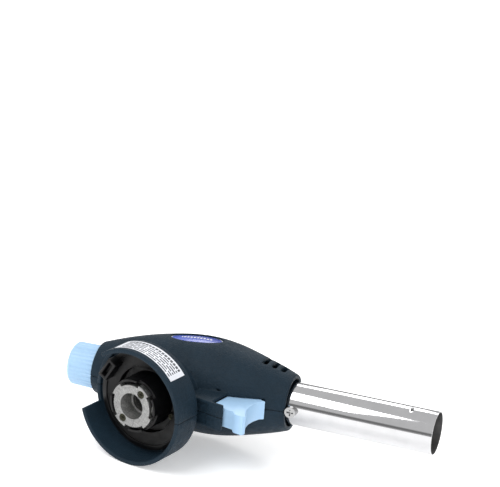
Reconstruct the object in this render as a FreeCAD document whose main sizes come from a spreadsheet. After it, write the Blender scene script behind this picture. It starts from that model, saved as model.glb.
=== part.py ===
import FreeCAD, Part
import math
import os

import Sketcher

# Clip-on gas torch head. Millimetres.
# Origin: centre of the cartridge seat, on the face of the metal adapter.
# +X runs forward along the burner, -Y towards the cartridge, +Z is the badge side.
# Pieces of the cup are drawn upright about +Y and then leaned back by cup_tilt about Z.

SIZES = {
    # overall
    "cup_tilt": 13.0,
    "burner_height": 40.9,
    "spindle_height": 34.3,
    "mouth_reach": 132.0,
    "knob_reach": 44.7,
    "fit_gap": 0.05,
    "part_gap": 0.3,
    # housing pod
    "shell_wall": 2.0,
    "nose_gap": 0.6,
    "knob_gap": 0.4,
    "knob_bore_end": 24.0,
    # housing cup and neck
    "cup_radius": 27.6,
    "cup_wall": 2.0,
    "cup_lip": 2.5,
    "cup_top": 13.5,
    "cup_corner": 3.0,
    "notch_floor": 10.0,
    "notch_start": 128.0,
    "notch_sweep": 69.0,
    "screw_notch_radius": 3.1,
    "screw_notch_depth": 2.1,
    "rib_thickness": 2.0,
    "rib_inset": 3.0,
    "neck_shift": -3.4,
    "neck_reach": 21.0,
    "neck_side": 19.0,
    "neck_waist": 16.6,
    "neck_top_side": 14.0,
    "neck_waist_height": 21.0,
    "neck_top_height": 31.0,
    # igniter block on the housing
    "block_half_width": 6.25,
    "block_wall": 1.5,
    "block_rear": 18.7,
    "block_front": 31.4,
    "block_floor": 16.3,
    "block_top": 34.0,
    "block_corner": 3.0,
    "lip_reach": 38.0,
    "panel_margin": 1.4,
    "panel_depth": 0.4,
    "slot_front": 46.4,
    "slot_front_height": 39.5,
    "slot_rear_height": 36.0,
    "slot_clearance": 0.8,
    # vents and badge
    "vent_width": 2.5,
    "badge_station": 13.7,
    "badge_height": 41.8,
    "badge_half_length": 13.0,
    "badge_half_width": 5.8,
    "badge_sink": 0.9,
    "badge_thickness": 0.5,
    # rating label
    "label_low": -0.3,
    "label_high": 10.1,
    "label_start": 41.0,
    "label_sweep": 72.0,
    "label_thickness": 0.15,
    # black cartridge seat
    "seat_rim": 9.85,
    "seat_rim_radius": 24.1,
    "seat_rim_wall": 2.3,
    "seat_ledge": 10.6,
    "seat_dish_radius": 15.8,
    "seat_dish": 14.4,
    "seat_wall": 1.2,
    "seat_tower_radius": 12.6,
    "seat_tower_face": 3.1,
    "claw_wall": 1.1,
    "claw_face": 0.5,
    "claw_sweep": 38.0,
    "latch_angle": 148.0,
    "latch_radius": 21.4,
    "latch_half_width": 5.2,
    "latch_half_depth": 2.4,
    "latch_face": 4.5,
    "latch_wall": 1.2,
    "latch_window": 3.5,
    "seat_screw_length": 5.0,
    "adapter_screw_face": 1.6,
    "adapter_screw_length": 17.1,
    # metal adapter
    "plate_radius": 10.0,
    "plate_thickness": 3.0,
    "hub_radius": 9.9,
    "lobe_radius": 11.3,
    "lobe_sweep": 34.0,
    "lobe_angle": 56.0,
    "seat_bore": 6.2,
    "seat_reach": 8.2,
    "well_radius": 5.2,
    "seat_depth": 12.0,
    "gas_bore": 2.0,
    "port_radius": 2.9,
    "port_depth": 4.4,
    "adapter_screw_circle": 8.35,
    # inlet
    "seal_radius": 4.0,
    "seal_bore": 1.2,
    "seal_thickness": 2.0,
    "pin_reach": 3.5,
    "pin_radius": 1.1,
    "pin_bore": 0.4,
    "pin_collar": 1.4,
    "filter_length": 2.0,
    # valve body
    "foot_radius": 12.0,
    "foot_height": 3.4,
    "ear_radius": 3.0,
    "ear_circle": 14.2,
    "ear_angle": -24.0,
    "tower_radius": 8.0,
    "barrel_radius": 7.0,
    "barrel_tail": 20.0,
    "barrel_nose": 15.0,
    "barrel_bore": 3.25,
    "outlet_radius": 5.0,
    "outlet_nose": 18.0,
    "passage": 1.0,
    "needle_room": 0.3,
    "barrel_mouth": 2.2,
    # spindle and knob
    "spindle_radius": 3.0,
    "needle_radius": 1.5,
    "needle_start": -4.0,
    "needle_shoulder": 1.0,
    "needle_point": 3.2,
    "needle_point_radius": 0.3,
    "rear_ring": -16.6,
    "front_ring": -12.6,
    "groove_width": 1.6,
    "groove_radius": 2.0,
    "ring_clearance": 0.02,
    "knob_radius": 10.6,
    "knob_end_radius": 10.2,
    "knob_chamfer": 1.2,
    "knob_length": 18.0,
    "knob_hub": 5.0,
    "knob_wall": 1.6,
    "knob_hollow": 11.0,
    "knob_floor": 2.5,
    "flute_radius": 0.5,
    "flute_count": 32,
    "nut_thickness": 4.0,
    "nut_corner": 6.6,
    # burner line
    "jet_radius": 2.5,
    "jet_socket": 4.0,
    "jet_flange_radius": 3.6,
    "jet_flange": 3.0,
    "jet_cone_radius": 1.8,
    "jet_tip_radius": 1.2,
    "jet_tip": 6.0,
    "jet_hole": 0.25,
    "mixer_radius": 5.8,
    "mixer_neck_radius": 4.0,
    "mixer_neck_bore": 3.2,
    "mixer_shoulder": 36.0,
    "mixer_taper": 5.0,
    "head_inset": 20.0,
    "air_hole_radius": 1.8,
    "air_hole_station": 29.0,
    "tube_radius": 10.0,
    "tube_wall": 0.5,
    "tube_tail": 50.0,
    "collar_start": 60.0,
    "collar_end": 71.0,
    "tube_screw_station": 65.8,
    "nozzle_radius": 5.0,
    "nozzle_inset": 4.0,
    "nozzle_lip": 0.5,
    "head_sleeve": 4.0,
    "head_wall": 1.2,
    "head_thickness": 4.0,
    "port_inset": 2.7,
    "flame_port": 1.2,
    "electrode_angle": 50.0,
    "electrode_radius": 0.5,
    "insulator_radius": 1.6,
    "insulator_start": 47.0,
    "insulator_inset": 26.0,
    "electrode_inset": 10.0,
    "crimp_inset": 12.0,
    "crimp_angle": 12.0,
    "crimp_length": 1.1,
    "crimp_sweep": 3.2,
    "crimp_depth": 0.45,
    "tube_screw_length": 3.2,
    # trigger and piezo igniter
    "trigger_half_width": 4.5,
    "trigger_travel": 4.5,
    "trigger_low": 15.4,
    "pocket_half_height": 4.4,
    "pocket_half_width": 3.1,
    "igniter_height": 24.8,
    "piezo_rear": 9.8,
    "piezo_front": 26.0,
    "piezo_half_height": 5.2,
    "piezo_half_width": 4.4,
    "plunger_radius": 2.75,
    "plunger_front": 34.6,
    "plunger_rear": 20.2,
    "spring_seat": 11.2,
    "spring_wire": 0.35,
    "spring_turns": 6.0,
    "spring_clearance": 0.3,
    "lead_radius": 0.8,
    # screws
    "screw_head": 2.6,
    "screw_head_height": 1.8,
    "screw_shank": 1.2,
    "boss_radius": 3.8,
    "boss_seat": 8.0,
    "screw_length": 15.0,
    "small_head": 1.5,
    "small_head_height": 1.2,
    "small_shank": 0.9,
    "plate_screw_head": 1.75,
}

SECTION_PARTS = ("station", "centre", "half_height", "half_width")
# Outer sections of the pod from rear to nose: station, centre height, half height, half width.
POD_SECTIONS = [
    (-31.2, 35.3, 12.3, 12.3),
    (-27.0, 36.2, 13.7, 13.7),
    (-13.0, 39.1, 17.7, 17.7),
    (2.0, 40.5, 20.2, 21.0),
    (17.0, 40.9, 21.0, 23.0),
    (33.0, 40.9, 20.0, 22.0),
    (48.0, 40.9, 16.5, 18.3),
    (63.3, 40.9, 12.5, 13.2),
]
# Vent slots: station, lower end, upper end.
VENTS = [(49.0, 37.6, 49.6), (53.4, 38.0, 48.0), (57.6, 38.8, 46.4)]
# Housing screws on the pod and neck: station, height.
BOSSES = [(-14.0, 50.0), (12.0, 56.0), (42.0, 53.2), (-16.2, 22.8)]
# Outline of the trigger's finger face and back: reach past the lip, height above its low edge.
TRIGGER_FACE = [
    (2.4, 0.3),
    (6.8, 0.3),
    (7.4, 2.2),
    (5.6, 5.0),
    (3.8, 8.4),
    (2.7, 12.4),
    (2.6, 16.6),
    (3.3, 20.6),
    (4.8, 22.2),
    (0.2, 23.0),
]
# Route of the ignition lead from the piezo to the electrode: x, y, z.
LEAD_ROUTE = [
    (26.5, 25.3, 0.0),
    (29.0, 30.0, -1.2),
    (37.0, 32.4, -4.0),
    (42.5, 36.0, -5.2),
]

V = FreeCAD.Vector
# Length and depth of tools that only have to pass right through the torch.
FOREVER = 200.0
THROUGH = 40.0
doc = FreeCAD.newDocument("torch_head")
sheet = doc.addObject("Spreadsheet::Sheet", "sizes")


class Size:
    """A number together with the spreadsheet expression that gives it."""

    def __init__(self, text, value):
        self.text = text
        self.value = value

    def joined(self, sign, other, value):
        return Size("(%s %s %s)" % (self.text, sign, other.text), value)

    def __add__(self, other):
        other = size(other)
        return self.joined("+", other, self.value + other.value)

    def __sub__(self, other):
        other = size(other)
        return self.joined("-", other, self.value - other.value)

    def __mul__(self, other):
        other = size(other)
        return self.joined("*", other, self.value * other.value)

    def __truediv__(self, other):
        other = size(other)
        return self.joined("/", other, self.value / other.value)

    def __neg__(self):
        return size(0) - self


def size(value):
    return value if isinstance(value, Size) else Size("%.6g" % value, float(value))


class Sheet:
    """Reads each named cell as a Size."""

    def __getattr__(self, name):
        return Size("sizes." + name, SIZES[name])


S = Sheet()


def fill_sheet():
    for i in range(len(POD_SECTIONS)):
        for part, value in zip(SECTION_PARTS, POD_SECTIONS[i]):
            SIZES["pod_%s_%s" % ("abcdefgh"[i], part)] = value
    for row, (name, value) in enumerate(SIZES.items(), start=1):
        sheet.set("A%d" % row, name)
        sheet.set("B%d" % row, "%.6g" % value)
        sheet.setAlias("B%d" % row, name)
    doc.recompute()


def bind(thing, links):
    for name, value in links.items():
        value = size(value)
        if value.text.startswith(("sizes", "(", "sin", "cos")):
            thing.setExpression(name, value.text)
        elif "." in name:
            thing.setExpression(name, "%.6g" % value.value)
        else:
            setattr(thing, name, value.value)


def sine(angle):
    return Size("sin(%s * 1 deg)" % angle.text, math.sin(math.radians(angle.value)))


def cosine(angle):
    return Size("cos(%s * 1 deg)" % angle.text, math.cos(math.radians(angle.value)))


def place(thing, x=0, y=0, z=0, turn=None, angle=0):
    """Puts a piece at x, y, z, turned by angle degrees about the turn axis."""
    if turn is not None:
        thing.Placement = FreeCAD.Placement(V(0, 0, 0), FreeCAD.Rotation(turn, size(angle).value))
        bind(thing, {"Placement.Rotation.Angle": angle})
    links = {"Placement.Base.x": x, "Placement.Base.y": y, "Placement.Base.z": z}
    bind(thing, links)
    return thing


def lean(thing):
    """Leans a piece drawn upright about the seat back by the cup's tilt."""
    return place(thing, turn=V(0, 0, -1), angle=S.cup_tilt)


# ---- sketch-based pieces ----


def origin_plane(body, role):
    for feature in body.Origin.OriginFeatures:
        if feature.Role == role:
            return feature


def outline(body, points):
    """A closed sketch of straight lines on the XY plane, each corner held by its coordinates."""
    sketch = body.newObject("Sketcher::SketchObject", body.Name + "_outline")
    sketch.AttachmentSupport = [(origin_plane(body, "XY_Plane"), "")]
    sketch.MapMode = "FlatFace"
    count = len(points)
    corners = [(size(x), size(y)) for x, y in points]
    for i in range(count):
        a, b = corners[i], corners[(i + 1) % count]
        line = Part.LineSegment(V(a[0].value, a[1].value, 0), V(b[0].value, b[1].value, 0))
        sketch.addGeometry(line, False)
    for i in range(count):
        sketch.addConstraint(Sketcher.Constraint("Coincident", i, 2, (i + 1) % count, 1))
    for i, corner in enumerate(corners):
        for kind, value in zip(("DistanceX", "DistanceY"), corner):
            index = sketch.addConstraint(Sketcher.Constraint(kind, i, 1, value.value))
            if value.text.startswith(("sizes", "(", "sin", "cos")):
                sketch.setExpression("Constraints[%d]" % index, value.text)
    return sketch


def turned(name, points, axis="H_Axis"):
    """A body turned about the X axis (or about Y with V_Axis) from an outline."""
    body = doc.addObject("PartDesign::Body", name)
    sketch = outline(body, points)
    turning = body.newObject("PartDesign::Revolution", name + "_turning")
    turning.Profile = sketch
    turning.ReferenceAxis = (sketch, [axis])
    turning.Angle = 360
    body.Tip = turning
    return body


def padded(name, points, half_width):
    """A body padded evenly to both sides of the XY plane from an outline."""
    body = doc.addObject("PartDesign::Body", name)
    sketch = outline(body, points)
    pad = body.newObject("PartDesign::Pad", name + "_pad")
    pad.Profile = sketch
    pad.SideType = "Symmetric"
    bind(pad, {"Length": half_width * 2})
    body.Tip = pad
    return body


def rounded(body, radius, wanted):
    """Fillets the edges of a body's tip that the wanted test picks."""
    doc.recompute()
    base = body.Tip
    names = ["Edge%d" % (i + 1) for i, edge in enumerate(base.Shape.Edges) if wanted(edge)]
    fillet = body.newObject("PartDesign::Fillet", body.Name + "_rounding")
    fillet.Base = (base, names)
    bind(fillet, {"Radius": radius})
    body.Tip = fillet
    return body


# ---- primitives and booleans ----

ALONG = {"x": (V(0, 1, 0), 90), "y": (V(1, 0, 0), -90), "z": (V(0, 0, 1), 0)}


def rod(name, along, radius, length, x=0, y=0, z=0):
    """A cylinder that starts at x, y, z and runs along x, y or z."""
    thing = doc.addObject("Part::Cylinder", name)
    bind(thing, {"Radius": radius, "Height": length})
    turn, angle = ALONG[along]
    return place(thing, x, y, z, turn, angle)


def box(name, low, high):
    thing = doc.addObject("Part::Box", name)
    spans = [size(b) - size(a) for a, b in zip(low, high)]
    bind(thing, {"Length": spans[0], "Width": spans[1], "Height": spans[2]})
    return place(thing, low[0], low[1], low[2])


def fused(name, pieces):
    if len(pieces) == 1:
        return pieces[0]
    thing = doc.addObject("Part::MultiFuse", name)
    thing.Shapes = pieces
    return thing


def common(name, pieces):
    thing = doc.addObject("Part::MultiCommon", name)
    thing.Shapes = pieces
    thing.Refine = False
    return thing


def cut(name, base, tools):
    thing = doc.addObject("Part::Cut", name)
    thing.Base = base
    thing.Tool = fused(name + "_tools", tools)
    return thing


def group(name, pieces):
    thing = doc.addObject("Part::Compound", name)
    thing.Links = pieces
    return thing


def arc_wedge(name, start, sweep, radius, low, high):
    """A sector of a disc about +Y, from angle start counted from +X towards +Z."""
    thing = doc.addObject("Part::Cylinder", name)
    bind(thing, {"Radius": radius, "Height": size(high) - size(low), "Angle": sweep})
    upright = FreeCAD.Rotation(V(1, 0, 0), -90)
    about_height = FreeCAD.Rotation(V(0, 1, 0), -(size(start).value + size(sweep).value))
    thing.Placement = FreeCAD.Placement(V(0, size(low).value, 0), about_height * upright)
    bind(thing, {"Placement.Base.y": low})
    return thing


def screw(name, length, head=None, head_height=None, shank=None):
    """A pan-head screw: head on the XY plane going up, shank going down, cross recess."""
    head = head or S.screw_head
    head_height = head_height or S.screw_head_height
    shank = shank or S.screw_shank
    top = rod(name + "_head", "z", head, head_height)
    stem = rod(name + "_shank", "z", shank, length, z=-length)
    blank = fused(name + "_blank", [top, stem])
    arm, depth = head * 0.6, head_height * 0.55
    slots = []
    for i, (wide, tall) in enumerate(((arm, head * 0.14), (head * 0.14, arm))):
        low = (-wide, -tall, head_height - depth)
        high = (wide, tall, head_height + 1)
        slots.append(box("%s_slot%s" % (name, "ab"[i]), low, high))
    return cut(name, blank, slots)


# ---- housing ----


def pod_loft(name, inset):
    """The pod's outer form, with every section drawn in by the inset."""
    sections = []
    for letter in "abcdefgh"[: len(POD_SECTIONS)]:
        ring = doc.addObject("Part::Ellipse", "%s_%s" % (name, letter))
        station, centre, height, width = (getattr(S, "pod_%s_%s" % (letter, part)) for part in SECTION_PARTS)
        bind(ring, {"MajorRadius": width - inset, "MinorRadius": height - inset})
        place(ring, station, centre, 0, V(0, 1, 0), -90)
        sections.append(ring)
    loft = doc.addObject("Part::Loft", name)
    loft.Sections = sections
    loft.Solid = True
    return loft


def neck_loft(name, wall, low):
    """The waisted neck between the cup and the pod, upright about +Y: its inside plus a wall."""
    sides = (S.neck_side, S.neck_waist, S.neck_top_side)
    heights = (low, S.neck_waist_height, S.neck_top_height)
    sections = []
    for letter, side, height in zip("abc", sides, heights):
        ring = doc.addObject("Part::Ellipse", "%s_%s" % (name, letter))
        bind(ring, {"MajorRadius": S.neck_reach + wall, "MinorRadius": side + wall})
        place(ring, S.neck_shift, height, 0, V(1, 0, 0), -90)
        sections.append(ring)
    loft = doc.addObject("Part::Loft", name)
    loft.Sections = sections
    loft.Solid = True
    return loft


def block_outline(inset, front, rear, floor):
    top = S.block_top - inset
    return [(rear, floor), (front, floor), (front, top), (rear, top)]


def housing_outer():
    low, high = -S.cup_lip, S.cup_top
    points = [(0, low), (S.cup_radius, low), (S.cup_radius, high), (0, high)]
    cup = turned("cup_outer", points, "V_Axis")
    rim = S.cup_radius.value

    def top_edge(edge):
        circle = isinstance(edge.Curve, Part.Circle) and abs(edge.Curve.Radius - rim) < 0.01
        return circle and abs(edge.CenterOfMass.y - high.value) < 0.01

    rounded(cup, S.cup_corner * 0.5, top_edge)
    neck = neck_loft("neck_outer", S.shell_wall, S.cup_top - S.shell_wall)
    points = block_outline(size(0), S.block_front, S.block_rear, S.block_floor)
    block = padded("block_outer", points, S.block_half_width)

    def rear_corner(edge):
        middle = edge.CenterOfMass
        return abs(middle.x - S.block_rear.value) < 0.01 and abs(middle.y - S.block_top.value) < 0.01

    rounded(block, S.block_corner, rear_corner)
    lip_top = S.block_floor + S.block_wall
    low = (S.block_front - 1, S.block_floor, -S.block_half_width)
    high = (S.lip_reach, lip_top, S.block_half_width)
    lip = box("lip", low, high)
    leaning = lean(fused("cup_group_outer", [cup, neck, block, lip]))
    return fused("housing_outer", [pod_loft("pod_outer", size(0)), leaning])


def housing_inner():
    floor = S.cup_top - S.shell_wall
    radius = S.cup_radius - S.cup_wall
    cup = rod("cup_inner", "y", radius, floor + S.cup_lip + 1, y=-S.cup_lip - 1)
    neck = neck_loft("neck_inner", size(0), S.cup_top - S.shell_wall - 0.5)
    rear = S.piezo_rear - S.part_gap
    points = block_outline(S.block_wall, S.block_front + 1, rear, S.block_floor + S.block_wall)
    block = padded("block_inner", points, S.block_half_width - S.block_wall)
    leaning = lean(fused("cup_group_inner", [cup, neck, block]))
    return fused("housing_inner", [pod_loft("pod_inner", S.shell_wall), leaning])


def stiffeners():
    """Screw bosses and two cradle ribs that run into the middle of the housing's wall."""
    half_wall = S.shell_wall * 0.5
    upright_neck = neck_loft("neck_middle", half_wall, S.cup_top - half_wall)
    neck = lean(group("neck_middle_leaning", [upright_neck]))
    middle = fused("housing_middle", [pod_loft("pod_middle", half_wall), neck])
    bosses = []
    for i, (x, y) in enumerate(BOSSES):
        name = "boss_%s" % "abcd"[i]
        bosses.append(rod(name, "z", S.boss_radius, FOREVER, x, y, -FOREVER / 2))
    rear = S.rib_inset - S.barrel_tail
    front = S.rib_inset + S.outlet_nose
    barrel_low = S.spindle_height - S.barrel_radius * 2
    mixer_low = S.burner_height - S.mixer_radius * 1.4
    barrel_rib = box("barrel_rib", (rear, barrel_low, -THROUGH), (rear + S.rib_thickness, FOREVER, THROUGH))
    mixer_rib = box("mixer_rib", (front, mixer_low, -THROUGH), (front + S.rib_thickness, FOREVER, THROUGH))
    barrel = rod("barrel_room", "x", S.barrel_radius + S.part_gap, THROUGH, -THROUGH, S.spindle_height)
    mixer = rod("mixer_room", "x", S.mixer_radius + S.part_gap, THROUGH, 5, S.burner_height)
    cleared = cut("ribs_cleared", fused("ribs", [barrel_rib, mixer_rib]), [barrel, mixer])
    return common("stiffeners", [fused("stiffener_blanks", bosses + [cleared]), middle])


def vent_tools():
    tools = []
    half = S.vent_width / 2
    for i, (x, low, high) in enumerate(VENTS):
        name = "vent_%s" % "abc"[i]
        low_end = size(low) + half
        high_end = size(high) - half
        tools.append(box(name, (size(x) - half, low_end, -THROUGH), (size(x) + half, high_end, THROUGH)))
        tools.append(rod(name + "_low", "z", half, THROUGH * 2, x, low_end, -THROUGH))
        tools.append(rod(name + "_high", "z", half, THROUGH * 2, x, high_end, -THROUGH))
    return tools


def badge_prism(name, grow):
    """An upright oval column through the badge, on the badge side only."""
    ring = doc.addObject("Part::Ellipse", name + "_oval")
    bind(ring, {"MajorRadius": S.badge_half_length + grow, "MinorRadius": S.badge_half_width + grow})
    place(ring, S.badge_station, S.badge_height, S.badge_half_width)
    prism = doc.addObject("Part::Extrusion", name)
    prism.Base = ring
    prism.Dir = V(0, 0, 1)
    prism.DirMode = "Custom"
    prism.LengthFwd = THROUGH
    prism.Solid = True
    return prism


def screw_room():
    """Clearance for the housing screws: head seats from the plain side, shank holes to the badge side."""
    tools = []
    for i, (x, y) in enumerate(BOSSES):
        letter = "abcd"[i]
        seat = S.screw_head + S.part_gap
        shank = S.screw_shank + S.fit_gap
        deep = S.screw_length + 1
        tools.append(rod("head_room_" + letter, "z", seat, THROUGH, x, y, -S.boss_seat - THROUGH))
        tools.append(rod("shank_room_" + letter, "z", shank, deep, x, y, -S.boss_seat))
    return tools


def block_panel():
    """Shallow panel sunk into the outer face of the igniter block."""
    wide = S.block_half_width - S.panel_margin
    low = (S.block_rear, S.block_floor - 1, -wide)
    high = (S.block_front - S.panel_margin, S.block_floor + S.panel_depth, wide)
    return lean(group("block_panel", [box("panel_blank", low, high)]))


def trigger_slot():
    """Opening in the block and the pod's underside that the trigger slides into."""
    rear = S.block_front - S.trigger_travel - S.slot_clearance
    front = S.slot_front
    floor = S.block_floor + S.block_wall
    points = [(rear, floor), (front, floor), (front, S.slot_front_height), (rear, S.slot_rear_height)]
    return lean(padded("trigger_slot", points, S.block_half_width - S.block_wall))


def housing():
    """Two shells that part on the middle plane."""
    outer = housing_outer()
    shell = cut("housing_shell", outer, [housing_inner()])
    solid = fused("housing_solid", [shell, stiffeners()])
    nose_bore, knob_bore = S.tube_radius + S.nose_gap, S.knob_radius + S.knob_gap
    nose = rod("nose_room", "x", nose_bore, THROUGH, S.tube_tail - 5, S.burner_height)
    knob = rod("knob_room", "x", knob_bore, THROUGH, -S.knob_bore_end - THROUGH, S.spindle_height)
    notch_low = S.burner_height - S.tube_radius - THROUGH
    notch_height = S.screw_notch_depth + S.nose_gap
    radius = S.screw_notch_radius
    notch_length = size(THROUGH) + notch_height
    screw_notch = rod("screw_notch", "y", radius, notch_length, S.tube_screw_station, notch_low)
    edge = S.cup_radius + S.cup_wall
    wedge = arc_wedge("notch_wedge", S.notch_start, S.notch_sweep, edge, -S.cup_lip - 1, S.notch_floor)
    notch = lean(group("cup_notch", [wedge]))
    floor = pod_loft("recess_floor", S.badge_sink + S.badge_thickness + S.fit_gap)
    recess = cut("badge_recess", badge_prism("recess_prism", S.fit_gap * 3), [floor])
    tools = [nose, knob, screw_notch, notch, recess, trigger_slot(), block_panel()]
    tools += vent_tools() + screw_room()
    whole = cut("housing_whole", solid, tools)
    upper = box("upper_side", (-FOREVER, -FOREVER, 0), (FOREVER, FOREVER, FOREVER))
    lower = box("lower_side", (-FOREVER, -FOREVER, -FOREVER), (FOREVER, FOREVER, 0))
    return {
        "housing_badge_side": common("housing_badge_side", [whole, upper]),
        "housing_plain_side": common("housing_plain_side", [whole, lower]),
    }


def housing_fittings():
    """Badge, rating label and the screws that hold the two shells together."""
    floor = pod_loft("badge_floor", S.badge_sink + S.badge_thickness)
    blank = cut("badge_blank", badge_prism("badge_column", 0), [floor])
    badge = common("badge_plate", [blank, pod_loft("badge_face", S.badge_sink)])
    inner = S.cup_radius + S.fit_gap
    outer = inner + S.label_thickness
    sheet_form = arc_wedge("label_sheet", S.label_start, S.label_sweep, outer, S.label_low, S.label_high)
    core = rod("label_core", "y", inner, THROUGH * 2, y=-THROUGH)
    label = lean(cut("rating_label", sheet_form, [core]))
    screws = []
    for i, (x, y) in enumerate(BOSSES):
        one = screw("housing_screw_%s" % "abcd"[i], S.screw_length)
        place(one, x, y, -S.boss_seat, V(1, 0, 0), 180)
        screws.append(one)
    return {
        "badge_plate": badge,
        "rating_label": label,
        "housing_screws": group("housing_screws", screws),
    }


# ---- cartridge seat and adapter ----


def polar(radius, angle):
    """Place on the seat, counted from +X towards +Z."""
    return radius * cosine(size(angle)), radius * sine(size(angle))


def cartridge_seat():
    """Black moulding round the metal adapter: rim, dished floor, tower with four claws, latch."""
    bore = S.hub_radius + S.part_gap
    top = S.seat_dish + S.seat_wall
    rim_in = S.seat_rim_radius - S.seat_rim_wall
    floor = S.cup_top - S.shell_wall - S.fit_gap
    dish_out = S.seat_dish_radius + S.seat_wall
    points = [
        (bore, S.seat_tower_face),
        (S.seat_tower_radius, S.seat_tower_face),
        (S.seat_tower_radius, S.seat_dish),
        (S.seat_dish_radius, S.seat_dish),
        (S.seat_dish_radius, S.seat_ledge),
        (rim_in, S.seat_ledge),
        (rim_in, S.seat_rim),
        (S.seat_rim_radius, S.seat_rim),
        (S.seat_rim_radius, floor),
        (dish_out, floor),
        (dish_out, top),
        (bore, top),
    ]
    pieces = [turned("seat_form", points, "V_Axis")]
    for i in range(4):
        letter = "abcd"[i]
        start = S.lobe_angle.value + 45 + 90 * i - S.claw_sweep.value / 2
        radius, root = S.seat_tower_radius, S.seat_tower_face + 1
        wedge = arc_wedge("claw_" + letter, start, S.claw_sweep, radius, S.claw_face, root)
        room = rod("claw_room_" + letter, "y", radius - S.claw_wall, S.seat_dish, y=S.claw_face - 2)
        pieces.append(cut("claw_wall_" + letter, wedge, [room]))
    wide, deep, face = S.latch_half_width, S.latch_half_depth, S.latch_face
    frame = box("latch_block", (-wide, face, -deep), (wide, S.seat_ledge + 0.5, deep))
    window_low = (S.latch_wall - wide, face - 1, S.latch_wall - deep)
    window_high = (wide - S.latch_wall, face + S.latch_window, deep - S.latch_wall)
    latch = cut("latch", frame, [box("latch_window", window_low, window_high)])
    x, z = polar(S.latch_radius, S.latch_angle)
    place(latch, x, 0, z, V(0, -1, 0), S.latch_angle + 90)
    form = fused("seat_solid", pieces + [latch])
    rooms = []
    shank = S.small_shank + S.fit_gap
    for letter, x, z in ear_places():
        rooms.append(rod("seat_screw_room_" + letter, "y", shank, S.seat_screw_length, x, S.seat_dish - 1, z))
    return {"cartridge_seat": lean(cut("cartridge_seat", form, rooms))}


def ear_places():
    places = []
    for letter, turn in zip("ab", (0, 220)):
        x, z = polar(S.ear_circle, S.ear_angle.value + turn)
        places.append((letter, x, z))
    return places


def adapter_screw_places():
    places = []
    for letter, turn in zip("ab", (0, 180)):
        x, z = polar(S.adapter_screw_circle, S.lobe_angle.value + turn)
        places.append((letter, x, z))
    return places


def cartridge_adapter():
    """Cast plate with four bayonet lobes, a hub behind it and the stepped bore the cartridge enters."""
    plate = rod("adapter_plate", "y", S.plate_radius, S.plate_thickness)
    hub = rod("adapter_hub", "y", S.hub_radius, S.seat_dish + S.seat_wall + S.part_gap)
    pieces = [plate, hub]
    for i in range(4):
        name = "lobe_%s" % "abcd"[i]
        start = S.lobe_angle.value + 90 * i - S.lobe_sweep.value / 2
        pieces.append(arc_wedge(name, start, S.lobe_sweep, S.lobe_radius, 0, S.plate_thickness))
    blank = fused("adapter_blank", pieces)
    bore = rod("adapter_bore", "y", S.seat_bore, S.seat_reach + 1, y=-1)
    well = rod("adapter_well", "y", S.well_radius, S.seat_depth, y=0)
    gas = rod("adapter_gas", "y", S.gas_bore, 10, y=S.seat_depth - 1)
    port = rod("adapter_port", "x", S.port_radius, 12, 0, S.port_depth, 0)
    rooms = [bore, well, gas, port]
    head, shank = S.plate_screw_head + S.part_gap * 0.5, S.small_shank + S.fit_gap
    for letter, x, z in adapter_screw_places():
        rooms.append(rod("adapter_head_room_" + letter, "y", head, S.adapter_screw_face + 1, x, -1, z))
        rooms.append(rod("adapter_shank_room_" + letter, "y", shank, THROUGH, x, 0, z))
    return {"cartridge_adapter": lean(cut("cartridge_adapter", blank, rooms))}


def upright_screws(name, places, face, length, head):
    """Small screws driven up into the torch, their heads facing the cartridge."""
    screws = []
    for letter, x, z in places:
        one = screw(name + "_" + letter, length, head, S.small_head_height, S.small_shank)
        place(one, x, face, z, V(1, 0, 0), 90)
        screws.append(one)
    return {name: lean(group(name, screws))}


def inlet():
    """Seal, hollow pin and filter at the bottom of the adapter's bore."""
    depth = S.seat_depth
    snug = S.gas_bore - S.fit_gap
    seal_face, pin_face, pin_end = depth - S.seal_thickness, depth - S.pin_reach, depth + S.pin_collar
    bore, out = S.seal_bore, S.seal_radius
    seal = [(bore, seal_face), (out, seal_face), (out, depth), (bore, depth)]
    pin = [
        (S.pin_bore, pin_face),
        (S.pin_radius, pin_face),
        (S.pin_radius, depth),
        (snug, depth),
        (snug, pin_end),
        (S.pin_bore, pin_end),
    ]
    start = pin_end + S.fit_gap
    end = start + S.filter_length
    mesh = [(0, start), (snug, start), (snug, end), (0, end)]
    return {
        "inlet_seal": lean(turned("inlet_seal", seal, "V_Axis")),
        "inlet_pin": lean(turned("inlet_pin", pin, "V_Axis")),
        "inlet_filter": lean(turned("inlet_filter", mesh, "V_Axis")),
    }


# ---- valve, spindle and knob ----


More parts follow.
